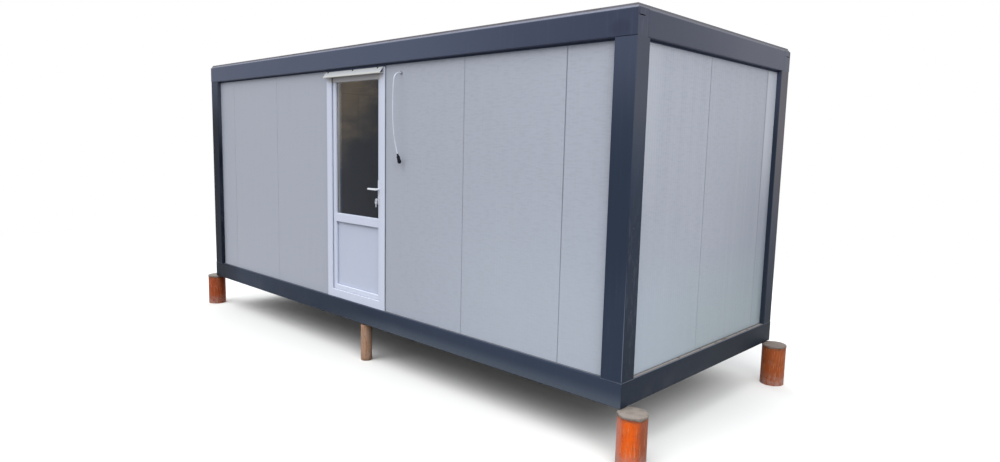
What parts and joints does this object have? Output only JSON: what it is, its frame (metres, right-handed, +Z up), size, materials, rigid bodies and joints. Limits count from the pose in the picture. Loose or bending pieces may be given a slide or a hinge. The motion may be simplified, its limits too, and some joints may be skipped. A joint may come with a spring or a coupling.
{
  "type": "portable site cabin",
  "caption": "Portable site cabin: anthracite steel frame, light sandwich-panel walls and a white half-glazed door, standing on short round piles.",
  "frame": {"origin": "middle of the footprint, at the foot of the piles", "axes": "+X along the length with the door side facing -Y, +Z up"},
  "size_m": [6.3498, 2.4948, 2.931],
  "materials": {
    "frame_paint": "anthracite satin paint on folded steel",
    "panel_skin": "light grey coated steel skins over foam",
    "roof_zinc": "galvanised ribbed sheet",
    "floor_board": "bare board",
    "door_plastic": "white plastic profile",
    "glass": "clear double glazing",
    "handle_paint": "white powder coat",
    "lock_metal": "nickel",
    "drip_paint": "white coated sheet",
    "spacer_metal": "plain aluminium spacer",
    "cable_sheath": "white sheath",
    "connector_plastic": "black moulded plastic",
    "pipe_plastic": "orange pipe with cement streaks",
    "concrete": "rough cast concrete",
    "post_timber": "weathered round timber",
    "shim_plastic": "white packing piece"
  },
  "bodies": {
    "cabin": {"base_front_beam": "frame_paint", "base_rear_beam": "frame_paint", "base_left_beam": "frame_paint", "base_right_beam": "frame_paint", "corner_posts": "frame_paint", "top_front_beam": "frame_paint", "top_rear_beam": "frame_paint", "top_left_beam": "frame_paint", "top_right_beam": "frame_paint", "floor_joists": "frame_paint", "roof_joists": "frame_paint", "wall_head_channels": "frame_paint", "front_wall_left": "panel_skin", "front_wall_right": "panel_skin", "rear_wall": "panel_skin", "left_wall": "panel_skin", "right_wall": "panel_skin", "ceiling_panels": "panel_skin", "roof_sheet": "roof_zinc", "roof_edge_trim": "roof_zinc", "floor_deck": "floor_board", "door_frame_hinge_jamb": "door_plastic", "door_frame_latch_jamb": "door_plastic", "door_frame_head": "door_plastic", "door_frame_sill": "door_plastic", "frame_hinges": "door_plastic", "drip_cap": "drip_paint", "cable": "cable_sheath", "cable_grommet": "cable_sheath", "cable_connector": "connector_plastic", "pile_pipes": "pipe_plastic", "pile_cores": "concrete", "middle_posts": "post_timber", "post_shims": "shim_plastic"},
    "door": {"door_leaf": "door_plastic", "door_glass": "glass", "glass_spacer": "spacer_metal", "door_lower_panel": "door_plastic", "glazing_beads": "door_plastic", "leaf_hinges": "door_plastic", "handle_plates": "handle_paint", "lock_cylinder": "lock_metal", "lock_plate": "lock_metal", "keys": "lock_metal"},
    "handle": {"handle_levers": "handle_paint"}
  },
  "joints": [
    {"name": "door_swing", "type": "hinge", "parent": "cabin", "child": "door", "pos_m": [-0.466, -1.0565, 1.635], "axis": [0, 0, 1], "range_deg": [0, 105]},
    {"name": "handle_turn", "type": "hinge", "parent": "door", "child": "handle", "pos_m": [0.331, -1.099, 1.635], "axis": [0, -1, 0], "range_deg": [0, 40], "stiffness_Nm_per_rad": 1, "springref_deg": -17.19}
  ]
}
